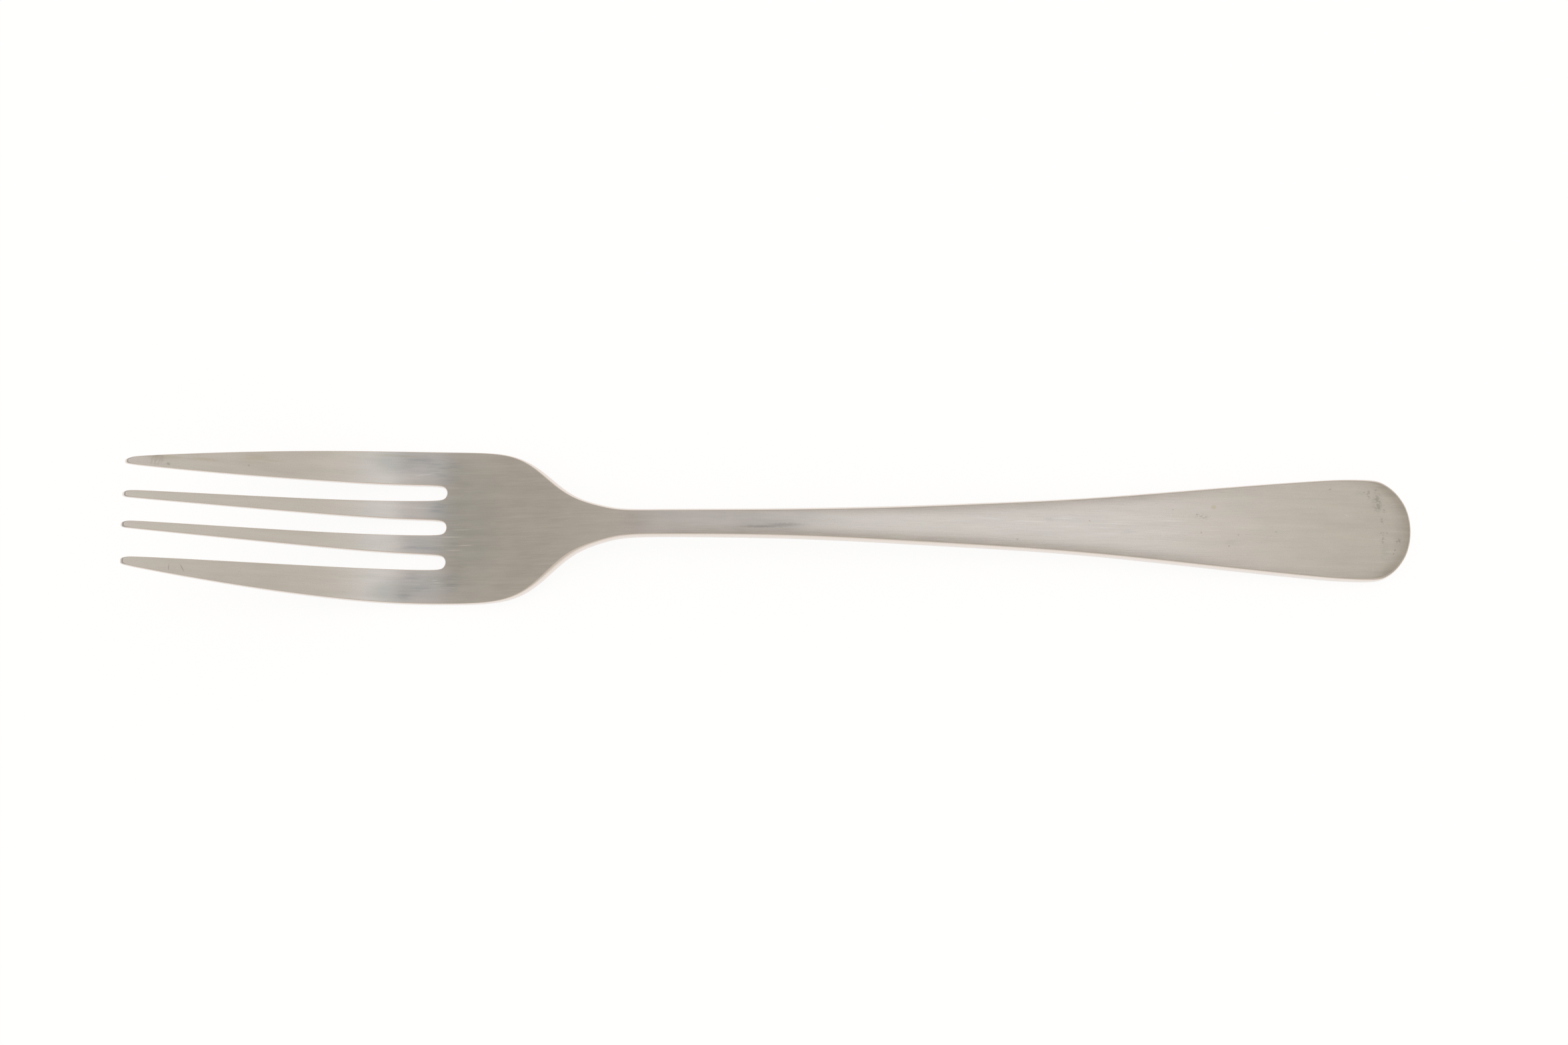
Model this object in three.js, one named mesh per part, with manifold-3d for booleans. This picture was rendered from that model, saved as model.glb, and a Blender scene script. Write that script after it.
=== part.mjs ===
// A plain four-tined table fork of satin stainless steel.
// Millimetres, +Z up. The tines point along -X, the handle along +X, and y = 0 is the plane of symmetry.
// The fork lies on its back with the hollow of the head upwards: the heel of the head and the underside
// of the handle near its end touch z = 0. The origin is under the middle of the fork's length.
// A real fork is one bar of steel with no seam. Its zones, cut where a maker names them, are the nodes here:
// four tines, head, neck and handle. They meet face to face on planes across the fork.
import * as THREE from "three";
import { mergeVertices } from "three/addons/utils/BufferGeometryUtils.js";
import Module from "manifold-3d";

const wasm = await Module();
wasm.setup();

// Driving dimensions along the fork
const TIP_X = -99.8; // ends of the tines, on their upper face
const WIDEST_X = -56; // where the head is widest
const SLOT_END_X = -52.4; // round ends of the slots between the tines
const SHOULDER_X = -35.3; // half way down the shoulders
const NECK_X = -27; // head meets neck
const GRIP_X = 2; // neck meets handle
const CROWN_END_X = 93; // where the sides of the handle turn into its round end
const END_X = 100; // end of the handle

// Driving dimensions across the fork, seen from above
const HEAD_HALF = 12.2; // half of the head's width
const NECK_HALF = 2.03; // half of the neck's width
const HANDLE_HALF = 8.2; // half of the handle's width at its end
const SHOULDER_SOFTNESS = 3; // length over which the shoulders sweep in, as in a logistic curve
const TIP_DRAW = 3.8; // how far each side draws in from the head's widest place to the tips
const DRAW_POWER = 1.75; // 2 would be a parabola
const END_POWER = 2.2; // fullness of the handle's round end: 2 would be an ellipse
const SLOT_WIDTH = 2.4; // between the tines at their roots
const SLOT_PITCH = 5.6; // from the middle slot to its neighbours

// Inner edges of the tines at the tips, where the tines are a little closer together than at their roots
const OUTER_TIP_EDGE = 7.2;
const INNER_TIP_EDGES = [1.8, 2.95];

// Height of the broad upper face at its edges, along the fork: tines, heel, rise to the neck, handle
const UPPER_FACE = [
  [TIP_X, 16.2],
  [-84, 10.08],
  [-73, 5.98],
  [-66, 3.68],
  [-60, 2.3],
  [-53.2, 1.8],
  [-45.5, 2.5],
  [-36, 4.74],
  [-24, 6.88],
  [-12, 7.36],
  [-3, 7.35],
  [5, 7.18],
  [14, 6.66],
  [28, 5.7],
  [42, 4.92],
  [54, 4.47],
  [66, 3.95],
  [78, 3.33],
  [90, 2.62],
  [END_X, 2],
];

// Thickness of the bar along the fork
const THICKNESS = [
  [TIP_X, 0.9],
  [-75, 1.45],
  [-52, 1.9],
  [-30, 2.15],
  [-10, 2.6],
  [15, 2.7],
  [40, 2.65],
  [62, 2.7],
  [80, 2.8],
  [88, 2.72],
  [95, 2.32],
  [END_X, 1.9],
];

// How far the middle of the upper face stands above its edges: the neck and the handle are crowned
const CROWN = [
  [TIP_X, 0],
  [-42, 0],
  [-20, 0.08],
  [5, 0.11],
  [30, 0.18],
  [50, 0.24],
  [65, 0.25],
  [80, 0.2],
  [END_X, 0.1],
];

// Half the width of the neck and handle, up to the start of the round end
const HANDLE_SIDE = [
  [-14, NECK_HALF],
  [0, 2.13],
  [30, 3.25],
  [60, 5.42],
  [80, 7.3],
  [CROWN_END_X, HANDLE_HALF],
];

const UPPER_EDGE_RADIUS = 0.3;
const LOWER_EDGE_RADIUS = 0.5;
const EDGE_SHARE = 0.32; // an edge radius takes at most this share of the thickness or the width
const TIP_ROUND = 1.1; // length over which a tine's tip rounds off
const TIP_SHARE = 0.45; // a tip ends blunt, at this share of its width and thickness

// Fineness of the solids
const STEP = 3; // between sections along the bar
const SHOULDER_STEP = 1.5; // between sections where the outline sweeps in
const CORNER_POINTS = 3; // on each rounded edge of a section
const SLOT_SEGMENTS = 12; // round each slot's end
const SLOPE_REACH = 0.5; // to each side when the bar's slope is measured
const END_SECTIONS = 8; // round the end of the handle

const SLOT_RADIUS = SLOT_WIDTH / 2;
const ROOT_X = SLOT_END_X - SLOT_RADIUS; // where the slots' straight sides start, and the tines with them

const steel = () => new THREE.MeshStandardMaterial({ color: 0xb9b2a6, roughness: 0.4, metalness: 1 });

// A smooth function of x through a few points, level at both ends.
function smoothThrough(points) {
  const curve = new THREE.CubicInterpolant(
    points.map(([x]) => x),
    points.map(([, value]) => value),
    1,
  );
  const first = points[0];
  const last = points[points.length - 1];
  curve.settings = { endingStart: THREE.ZeroSlopeEnding, endingEnd: THREE.ZeroSlopeEnding };
  return (x) => {
    if (x <= first[0]) return first[1];
    if (x >= last[0]) return last[1];
    return curve.evaluate(x)[0];
  };
}

// As smoothThrough, but the curve keeps running at its ends, as the tines' sweep does at their tips.
function sweepThrough(points) {
  const curve = new THREE.CubicInterpolant(
    points.map(([x]) => x),
    points.map(([, value]) => value),
    1,
  );
  return (x) => curve.evaluate(x)[0];
}

const upperFace = sweepThrough(UPPER_FACE);
const thickness = smoothThrough(THICKNESS);
const crown = smoothThrough(CROWN);
const handleSide = smoothThrough(HANDLE_SIDE);

// The angle at which the bar rises at x, seen from the side.
function rise(x) {
  const before = Math.max(TIP_X, x - SLOPE_REACH);
  const after = Math.min(END_X, x + SLOPE_REACH);
  return Math.atan2(upperFace(after) - upperFace(before), after - before);
}

// Half the fork's width at x: neck and handle, plus the shoulders' sweep out to the head, less the draw of the
// outer tines. Past CROWN_END_X it closes in a round end.
function halfWidth(x) {
  const shoulders = (HEAD_HALF - NECK_HALF) / (1 + Math.exp((x - SHOULDER_X) / SHOULDER_SOFTNESS));
  const drawn = Math.max(0, (WIDEST_X - x) / (WIDEST_X - TIP_X));
  const along = Math.max(0, (x - CROWN_END_X) / (END_X - CROWN_END_X));
  const closing = Math.max(0, 1 - along ** END_POWER) ** (1 / END_POWER);
  return (handleSide(x) + shoulders - TIP_DRAW * drawn ** DRAW_POWER) * closing;
}

// One cross-section of the bar at x, square to the bar, from left edge to right edge: a rectangle with rounded
// edges whose upper face is crowned. top and bottom are depths below the edges of the upper face. No point goes
// below the table: the underside is worn flat where it rests. The points run anticlockwise seen from +X.
function section(x, left, right, top, bottom) {
  const middle = (left + right) / 2;
  const half = (right - left) / 2;
  const most = EDGE_SHARE * Math.min(right - left, bottom - top);
  const upper = Math.min(UPPER_EDGE_RADIUS, most);
  const lower = Math.min(LOWER_EDGE_RADIUS, most);
  const points = [];
  const corner = (y, depth, radius, from) => {
    for (let i = 0; i < CORNER_POINTS; i++) {
      const angle = from + (i / (CORNER_POINTS - 1)) * (Math.PI / 2);
      points.push([y + radius * Math.cos(angle), depth - radius * Math.sin(angle)]);
    }
  };
  corner(left + lower, bottom - lower, lower, Math.PI);
  corner(right - lower, bottom - lower, lower, 1.5 * Math.PI);
  corner(right - upper, top + upper, upper, 0);
  for (const part of [0.5, 0, -0.5]) points.push([middle + part * (half - upper), top]);
  corner(left + upper, top + upper, upper, 0.5 * Math.PI);
  const angle = rise(x);
  return points.map(([y, depth]) => {
    const lift = depth < top + upper ? crown(x) * (1 - ((y - middle) / half) ** 2) : 0;
    const below = depth - lift;
    const height = upperFace(x) - below * Math.cos(angle);
    return new THREE.Vector3(x + below * Math.sin(angle), y, Math.max(0, height));
  });
}

// A closed skin over sections that all have the same number of points, running towards +X.
function loft(sections) {
  const count = sections[0].length;
  const last = sections.length - 1;
  const triangles = [];
  for (let i = 0; i < last; i++) {
    for (let j = 0; j < count; j++) {
      const a = i * count + j;
      const b = i * count + ((j + 1) % count);
      triangles.push(a, b, a + count, b, b + count, a + count);
    }
  }
  for (let j = 1; j < count - 1; j++) {
    triangles.push(0, j + 1, j);
    triangles.push(last * count, last * count + j, last * count + j + 1);
  }
  return new THREE.BufferGeometry().setFromPoints(sections.flat()).setIndex(triangles);
}

// Evenly spaced stations from one x to another, no further apart than step.
function stations(from, to, step) {
  const count = Math.ceil(Math.abs(to - from) / step);
  return Array.from({ length: count + 1 }, (_, i) => from + ((to - from) * i) / count);
}

// A stretch of the bar at its full width.
function bar(xs) {
  return loft(
    xs.map((x) => section(x, -halfWidth(x), halfWidth(x), 0, thickness(x))),
  );
}

const share = (x) => (ROOT_X - x) / (ROOT_X - TIP_X); // 0 at a tine's root, 1 at its tip

// The edges of an inner and an outer tine on the +Y side, each [nearer to the middle, further out].
const TINE_EDGES = {
  inner: (x) => [
    THREE.MathUtils.lerp(SLOT_RADIUS, INNER_TIP_EDGES[0], share(x)),
    THREE.MathUtils.lerp(SLOT_PITCH - SLOT_RADIUS, INNER_TIP_EDGES[1], share(x)),
  ],
  outer: (x) => [
    THREE.MathUtils.lerp(SLOT_PITCH + SLOT_RADIUS, OUTER_TIP_EDGE, share(x) ** 2),
    halfWidth(x),
  ],
};

// A tine: it tapers from its root to a blunt, rounded tip. side is +1 or -1.
function tine(kind, side) {
  const round = [0, 0.15, 0.5, 1].map((part) => TIP_X + part * TIP_ROUND);
  const xs = [...round, ...stations(TIP_X + TIP_ROUND, ROOT_X, STEP).slice(1)];
  return loft(
    xs.map((x) => {
      const fullness = Math.sqrt(1 - Math.max(0, 1 - (x - TIP_X) / TIP_ROUND) ** 2);
      const trim = (1 - THREE.MathUtils.lerp(TIP_SHARE, 1, fullness)) / 2;
      const [left, right] = TINE_EDGES[kind](x).map((y) => side * y).sort((a, b) => a - b);
      const sideTrim = trim * (right - left);
      const faceTrim = trim * thickness(x);
      return section(x, left + sideTrim, right - sideTrim, faceTrim, thickness(x) - faceTrim);
    }),
  );
}

// A closed mesh as a solid that can be cut.
function solidOf(geometry) {
  const plain = geometry.clone();
  plain.deleteAttribute("normal");
  plain.deleteAttribute("uv");
  const merged = mergeVertices(plain);
  return new wasm.Manifold(
    new wasm.Mesh({
      numProp: 3,
      vertProperties: merged.attributes.position.array,
      triVerts: new Uint32Array(merged.index.array),
    }),
  );
}

function geometryOf(solid) {
  const { vertProperties, triVerts } = solid.getMesh();
  return new THREE.BufferGeometry()
    .setAttribute("position", new THREE.BufferAttribute(vertProperties, 3))
    .setIndex(new THREE.BufferAttribute(triVerts, 1));
}

// The punch that makes the round end of the slot at y.
function slotPunch(y) {
  const clear = SLOT_WIDTH; // how far the punch reaches past the part it cuts
  const outline = new THREE.Shape();
  outline.moveTo(ROOT_X - clear, y - SLOT_RADIUS);
  outline.lineTo(ROOT_X, y - SLOT_RADIUS);
  outline.absarc(ROOT_X, y, SLOT_RADIUS, -Math.PI / 2, Math.PI / 2, false);
  outline.lineTo(ROOT_X - clear, y + SLOT_RADIUS);
  const depth = upperFace(ROOT_X) + 2 * clear;
  return new THREE.ExtrudeGeometry(outline, { depth, bevelEnabled: false, curveSegments: SLOT_SEGMENTS })
    .translate(0, 0, -clear);
}

// The flat of the fork behind the slots, with the shoulders that sweep in to the neck.
function head() {
  const plate = solidOf(bar(stations(ROOT_X, NECK_X, SHOULDER_STEP)));
  const slots = [-SLOT_PITCH, 0, SLOT_PITCH].map((y) => solidOf(slotPunch(y)));
  return geometryOf(slots.reduce((left, slot) => left.subtract(slot), plate));
}

// The handle, whose stations crowd together round its end.
function handle() {
  const sides = stations(GRIP_X, CROWN_END_X, STEP);
  const length = END_X - CROWN_END_X;
  const end = Array.from({ length: END_SECTIONS }, (_, i) => {
    const angle = ((i + 1) / (END_SECTIONS + 0.5)) * (Math.PI / 2);
    return CROWN_END_X + length * Math.sin(angle);
  });
  return bar([...sides, ...end]);
}

const fork = new THREE.Group();
const addZone = (name, geometry) => {
  const mesh = new THREE.Mesh(geometry, steel());
  mesh.name = name;
  fork.add(mesh);
};

// Right and left are as the person eating sees them, with the tines pointing away: right is +Y.
for (const [hand, side] of [["right", 1], ["left", -1]]) {
  addZone(`outer_tine_${hand}`, tine("outer", side));
  addZone(`inner_tine_${hand}`, tine("inner", side));
}
addZone("head", head());
addZone("neck", bar(stations(NECK_X, GRIP_X, STEP)));
addZone("handle", handle());

export default fork;
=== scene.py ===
import math

import bmesh
import bpy
import numpy as np
from mathutils import Matrix, Vector


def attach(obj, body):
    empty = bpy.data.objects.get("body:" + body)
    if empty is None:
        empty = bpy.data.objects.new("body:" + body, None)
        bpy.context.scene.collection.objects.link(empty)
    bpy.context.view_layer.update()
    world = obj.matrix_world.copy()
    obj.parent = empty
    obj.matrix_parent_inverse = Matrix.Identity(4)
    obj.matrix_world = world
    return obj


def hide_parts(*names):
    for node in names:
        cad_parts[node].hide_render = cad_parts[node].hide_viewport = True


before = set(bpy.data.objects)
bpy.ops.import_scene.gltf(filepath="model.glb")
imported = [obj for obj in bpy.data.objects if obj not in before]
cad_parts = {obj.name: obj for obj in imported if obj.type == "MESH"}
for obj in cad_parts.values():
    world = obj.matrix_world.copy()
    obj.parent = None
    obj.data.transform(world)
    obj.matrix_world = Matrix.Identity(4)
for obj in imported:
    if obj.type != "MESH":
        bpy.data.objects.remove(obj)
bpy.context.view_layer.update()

# A table fork in satin stainless steel, lying on its back on a white table.
# The blank is modelled flat, its edges are rounded, and it is then bent to the fork's side profile,
# which is how such a fork is made. Sizes are millimetres until the bend, and metres after it.
# Tips are at -X and the handle at +X; right is +Y.
MM = 0.001
HAIR = 0.001  # depths that differ by less than this count as the same

# Places along the fork; the round end of the handle starts where its crown ends
TIP_X = -99.8
WIDEST_X = -56.0
SLOT_END_X = -52.4
SHOULDER_X = -35.8
SHOULDER_FOOT_X = -26.9
CROWN_END_X = 93.0
END_X = 100.3

# Sizes across the fork, seen from above
HEAD_HALF = 12.3
NECK_HALF = 2.18
HANDLE_HALF = 8.44
SHOULDER_SOFTNESS = 2.6
SHOULDER_FOOT = 0.66
FOOT_SOFTNESS = 1.1
TIP_DRAW = 3.81
DRAW_POWER = 1.75
END_POWER = 2.05
END_SKEW = 0.02
SLOT_RADIUS = 1.2
SLOT_PITCH = 5.6
ROOT_X = SLOT_END_X - SLOT_RADIUS
OUTER_TIP_EDGE = 7.12
INNER_TIP_EDGES = (1.76, 3.0)

# How use has bent and worn the tines
OUTER_LEAN = 0.21  # how far both outer tines are bent to the left at their tips
RIGHT_BOW = 0.16  # how far the right outer tine bows inwards between its root and its tip
RIGHT_THINNING = 0.1  # share of its width that wear has taken off the right outer tine at its tip
THINNING_POWER = 6
WORN_POINT = 1.45  # the right outer tine is worn to a sharper point than the others, which have 1
TIP_WEAR = 0.35  # how much of a tip's narrowing is on its right side only
TIP_REACH = {"inner": 0.3, "outer": 0.15}  # how far the tips stand out before they are smoothed
TIP_SLANT = 0.42
TIP_END_REACH = 1.2

# Side profile: height of the upper face at its edges, and thickness of the bar
UPPER_FACE = (
    (TIP_X, 16.2), (-84, 10.08), (-73, 5.98), (-66, 3.68), (-60, 2.3), (-53.2, 1.8), (-45.5, 2.5),
    (-36, 4.74), (-24, 6.88), (-12, 7.36), (-3, 7.35), (5, 7.18), (14, 6.66), (28, 5.7), (42, 4.92),
    (54, 4.47), (66, 3.95), (78, 3.33), (90, 2.62), (END_X, 2.0),
)
THICKNESS = (
    (TIP_X, 0.9), (-75, 1.42), (-52, 1.88), (-30, 2.1), (-10, 2.4), (15, 2.4), (40, 2.55), (62, 2.65),
    (80, 2.8), (88, 2.72), (95, 2.32), (END_X, 1.9),
)
RISE_REACH = 0.5  # the slope of the side profile is taken over this much to both sides
HANDLE_SIDE = (
    (-60, NECK_HALF), (-14, NECK_HALF), (0, 2.33), (15, 2.79), (30, 3.47), (45, 4.28), (60, 5.55),
    (80, 7.41), (CROWN_END_X, HANDLE_HALF),
)
# The middle line wanders a little to one side, as years of use have left it
ASIDE = (
    (TIP_X, 0.07), (-90, 0.05), (-80, 0.02), (-65, 0.01), (-52, -0.04), (-42, -0.13), (-33, -0.13),
    (-24, -0.06), (-14, -0.03), (20, -0.03), (36, 0.06), (50, 0.05), (70, 0.01), (END_X, -0.02),
)

# The neck and handle are crowned above and below; the head and tines are flat across.
# A crown with the power 2 would be a parabola across; 4 is flatter, with steeper edges
CROWN = (
    (TIP_X, 0), (-42, 0), (-25, 0.06), (-15, 0.12), (-5, 0.18), (5, 0.22), (20, 0.26), (36, 0.265),
    (50, 0.25), (61, 0.235), (72, 0.2), (84, 0.14), (END_X, 0.1),
)
NECK_CROWN_POWER = 2.4
END_CROWN_POWER = 4.4
CROWN_CHANGE_X = 48.0
CROWN_CHANGE_SOFTNESS = 6.0
CROWN_LAST_X = CROWN_END_X + 4  # past this the crown is as wide as it is here
NARROWEST_CROWN = 0.1
END_ROLL = 0.1
END_ROLL_REACH = 3.0

# The rim of the upper face slopes down over a narrow band. At the shoulders and round the end of the
# handle, where polishing takes most metal, the band is wider: the face is set in from the outline
UPPER_EDGE_ROUND = 0.12
UPPER_EDGE_DROP = 0.22
SET_IN = (
    (TIP_X, 0), (-60, 0), (-45, 0.02), (-39.7, 0.16), (-37.5, 0.32), (-35.5, 0.46), (-33, 0.4),
    (-30, 0.26), (-26.5, 0.27), (-22, 0.26), (-10, 0.25), (10, 0.3), (28, 0.28), (40, 0.22), (60, 0.2),
    (85, 0.13), (END_X, 0.08),
)
RIM_SHIFT = 0.8  # how much nearer the rim lies to the handle on the left, and to the tips on the right
SET_IN_DROP = 1.0  # how far the rim drops for each millimetre of setting in
END_SET_IN = 0.3
END_DROP = 0.17
END_RIM_X = CROWN_END_X - 1
END_RIM_REACH = 4.0
RIM_SUPPORT = 0.12
LOWER_EDGE_ROUND = 0.32
LOWER_EDGE_LIFT = 3.0
LOWER_EDGE_SHARE = 0.6  # the most of the wall that the lower round may take
EDGE_SEGMENTS = 3
SMOOTH_LEVELS = 2

# How squarely the faces of the flat bar look up or down: 1 is square, and 0 is upright
LEVEL = 0.999  # more than this is the broad face inside its rim
STEEP = 0.97  # less than this is rim or wall
BROAD = 0.9  # more than this is broad face, while the edges are still sharp
UPRIGHT = 0.5  # less than this is wall, while the edges are still sharp


def smooth_curve(points):
    """A smooth line through a few (place, value) points, as a springy strip would take it."""
    place, value = np.array(points, dtype=float).T
    gap = np.diff(place)
    slope = np.diff(value) / gap
    count = len(place)
    system = np.eye(count)
    load = np.zeros(count)
    for i in range(1, count - 1):
        system[i, i - 1:i + 2] = gap[i - 1], 2 * (gap[i - 1] + gap[i]), gap[i]
        load[i] = 6 * (slope[i] - slope[i - 1])
    bend = np.linalg.solve(system, load)

    def at(x):
        i = int(np.clip(np.searchsorted(place, x) - 1, 0, count - 2))
        before, after, span = x - place[i], place[i + 1] - x, gap[i]
        curved = (bend[i] * after ** 3 + bend[i + 1] * before ** 3) / (6 * span)
        low = (value[i] / span - bend[i] * span / 6) * after
        high = (value[i + 1] / span - bend[i + 1] * span / 6) * before
        return curved + low + high

    return at


upper_face = smooth_curve(UPPER_FACE)
thickness = smooth_curve(THICKNESS)
crown_line = smooth_curve(CROWN)
handle_side = smooth_curve(HANDLE_SIDE)
set_in_line = smooth_curve(SET_IN)
aside_line = smooth_curve(ASIDE)


def share_of_one(value):
    """The value, held between 0 and 1."""
    return min(1.0, max(0.0, value))


def soft_step(x, middle, softness):
    """1 before the middle and 0 after it."""
    return 1 / (1 + math.exp((x - middle) / softness))


def crown(x):
    return max(0.0, crown_line(x))


def crown_power(x):
    before = soft_step(x, CROWN_CHANGE_X, CROWN_CHANGE_SOFTNESS)
    return END_CROWN_POWER + (NECK_CROWN_POWER - END_CROWN_POWER) * before


def set_in(x, y):
    return max(0.0, set_in_line(min(x + math.copysign(RIM_SHIFT, y), END_X)))


def near_end(x):
    """0 along the fork, rising to 1 at the round end of the handle."""
    return share_of_one((x - END_RIM_X) / END_RIM_REACH)


def at_tip(x):
    """0 along the fork, rising to 1 at the ends of the tines."""
    return share_of_one((TIP_X + TIP_END_REACH - x) / TIP_END_REACH)


def along_tine(x):
    """0 at the root of a tine and 1 at its tip."""
    return (ROOT_X - x) / (ROOT_X - TIP_X)


def rise(x):
    """The angle at which the bar rises at x, seen from the side."""
    before, after = max(TIP_X, x - RISE_REACH), min(END_X, x + RISE_REACH)
    return math.atan2(upper_face(after) - upper_face(before), after - before)


def side(x):
    """Half the fork's width at x, without the round end of the handle."""
    shoulders = (HEAD_HALF - NECK_HALF - SHOULDER_FOOT) * soft_step(x, SHOULDER_X, SHOULDER_SOFTNESS)
    shoulders += SHOULDER_FOOT * soft_step(x, SHOULDER_FOOT_X, FOOT_SOFTNESS)
    drawn = max(0.0, (WIDEST_X - x) / (WIDEST_X - TIP_X))
    return handle_side(min(x, CROWN_END_X)) + shoulders - TIP_DRAW * drawn ** DRAW_POWER


def half_width(x):
    along = share_of_one((x - CROWN_END_X) / (END_X - CROWN_END_X))
    return side(x) * (1 - along ** END_POWER) ** (1 / END_POWER)


def end_reach(y):
    """How far the round end of the handle reaches at y off the middle line."""
    across = min(1.0, abs(y) / HANDLE_HALF)
    return CROWN_END_X + (END_X - CROWN_END_X) * (1 - across ** END_POWER) ** (1 / END_POWER)


# Columns of the blank on one side of the middle line, at the roots of the tines: each is its distance
# from the middle line and how far the round slot end has it set back. The slot ends are drawn a little
# full, because the smoothing takes them in
SLOT_FULLNESS = 1.08
SLOT_ROUND = SLOT_FULLNESS * SLOT_RADIUS
SLOT_CORNER = math.sqrt(0.5) * SLOT_ROUND
OUTER_TINE_COLUMNS = (8.6, 10.4)
ROOT_COLUMNS = (
    (0.0, SLOT_ROUND),
    (SLOT_CORNER, SLOT_CORNER),
    (SLOT_RADIUS, 0),
    (SLOT_PITCH / 2, 0),
    (SLOT_PITCH - SLOT_RADIUS, 0),
    (SLOT_PITCH - SLOT_CORNER, SLOT_CORNER),
    (SLOT_PITCH, SLOT_ROUND),
    (SLOT_PITCH + SLOT_CORNER, SLOT_CORNER),
    (SLOT_PITCH + SLOT_RADIUS, 0),
    (OUTER_TINE_COLUMNS[0], 0),
    (OUTER_TINE_COLUMNS[1], 0),
    (HEAD_HALF, 0),
)
INNER_TINE = (2, 4)
OUTER_TINE = (8, 11)
# The same columns along the neck and handle, as shares of the half width
HANDLE_SHARES = (0, 0.08, 0.16, 0.25, 0.34, 0.43, 0.52, 0.61, 0.7, 0.78, 0.87, 1)
SPREAD_X = (-50.0, -30.0)

# Rows of the blank: close together on the head, wider apart on the handle, and close at its round end
SLOT_ROW_X = -51.2
HEAD_ROW_X = -49.5
HEAD_ROW_STEP = 2
HEAD_ROWS = 16
HANDLE_ROW_X = -15
HANDLE_ROW_STEP = 4
HANDLE_ROWS = 27
ROUND_END_ROWS = (1.6, 3.1, 4.4, 5.5, 6.3)
BODY_ROWS = (
    [ROOT_X, SLOT_ROW_X]
    + [HEAD_ROW_X + HEAD_ROW_STEP * i for i in range(HEAD_ROWS)]
    + [HANDLE_ROW_X + HANDLE_ROW_STEP * i for i in range(HANDLE_ROWS)]
    + [CROWN_END_X + past for past in ROUND_END_ROWS]
)
TINE_STEPS = 12
TIP_ROWS = ((1.5, 0.98), (0.6, 0.9), (-0.15, 0.68))  # distance behind the tip, and share of the width


def tine_edges(kind, x):
    """Near and far edge of a tine on the +Y side."""
    along = along_tine(x)
    if kind == "inner":
        near = SLOT_RADIUS + (INNER_TIP_EDGES[0] - SLOT_RADIUS) * along
        far = SLOT_PITCH - SLOT_RADIUS
        return near, far + (INNER_TIP_EDGES[1] - far) * along
    near = SLOT_PITCH + SLOT_RADIUS
    return near + (OUTER_TIP_EDGE - near) * along ** 2, half_width(x)


def column_place(column, x):
    """Distance of a column from the middle line at x: as at the roots on the head, evened out behind it."""
    root_share = ROOT_COLUMNS[column][0] / HEAD_HALF
    spread = share_of_one((x - SPREAD_X[0]) / (SPREAD_X[1] - SPREAD_X[0]))
    spread = spread * spread * (3 - 2 * spread)
    return (root_share + (HANDLE_SHARES[column] - root_share) * spread) * half_width(x)


def lay_out_body(bm):
    """The flat sheet of head, neck and handle. Returns the vertices of its front row, by signed column."""
    last = len(ROOT_COLUMNS) - 1
    rows = len(BODY_ROWS) - 1
    bmesh.ops.create_grid(bm, x_segments=rows, y_segments=2 * last, size=1)
    front = {}
    for vert in bm.verts:
        row = round((vert.co.x + 1) / 2 * rows)
        column = round(vert.co.y * last)
        x = BODY_ROWS[row]
        y = math.copysign(column_place(abs(column), x), column) if column else 0.0
        if row == 0:
            x += ROOT_COLUMNS[abs(column)][1]
            front[column] = vert
        if row == rows:
            x = end_reach(y)
        past = max(0.0, x - CROWN_END_X) / (END_X - CROWN_END_X)
        vert.co = (x + END_SKEW * y * past, y, 0)
    return front


def draw_out_tine(bm, front, kind, hand):
    """Extrudes one tine from the front row, station by station, to its tip."""
    first, last = INNER_TINE if kind == "inner" else OUTER_TINE
    worn = kind == "outer" and hand > 0
    row = [front[hand * column] for column in range(first, last + 1)]
    edges = [bm.edges.get((a, b)) for a, b in zip(row, row[1:])]
    tip = TIP_X - TIP_REACH[kind]
    stop = ROOT_X - tip - TIP_ROWS[0][0]
    stations = [(ROOT_X - stop * (i + 1) / TINE_STEPS, 1) for i in range(TINE_STEPS)]
    stations[-1] = (stations[-1][0], TIP_ROWS[0][1])
    stations += [(tip + back, full) for back, full in TIP_ROWS[1:]]
    for x, full in stations:
        made = bmesh.ops.extrude_edge_only(bm, edges=edges)["geom"]
        edges = [g for g in made if isinstance(g, bmesh.types.BMEdge)]
        verts = sorted((g for g in made if isinstance(g, bmesh.types.BMVert)), key=lambda v: abs(v.co.y))
        edges = [e for e in edges if all(v in verts for v in e.verts)]
        along = along_tine(x)
        if worn:
            full = full ** WORN_POINT * (1 - RIGHT_THINNING * along ** THINNING_POWER)
        near, far = tine_edges(kind, x)
        middle, half = (near + far) / 2, (far - near) / 2
        aside = TIP_WEAR * half * (1 - full)
        if kind == "outer":
            aside += OUTER_LEAN * along ** 2
        if worn:
            aside += RIGHT_BOW * math.sin(math.pi * along ** 2)
        for i, vert in enumerate(verts):
            share = 2 * i / (len(verts) - 1) - 1
            vert.co = (x, hand * (middle + share * half * full) - aside, 0)


def rim_edges(bm, facing):
    """The sharp edges round the upper (facing 1) or lower (facing -1) face of the flat bar."""
    def is_broad(face):
        return face.normal.z * facing > BROAD

    def is_wall(face):
        return abs(face.normal.z) < UPRIGHT

    return [
        edge for edge in bm.edges
        if len(edge.link_faces) == 2
        and any(is_broad(f) for f in edge.link_faces)
        and any(is_wall(f) for f in edge.link_faces)
    ]


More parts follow.
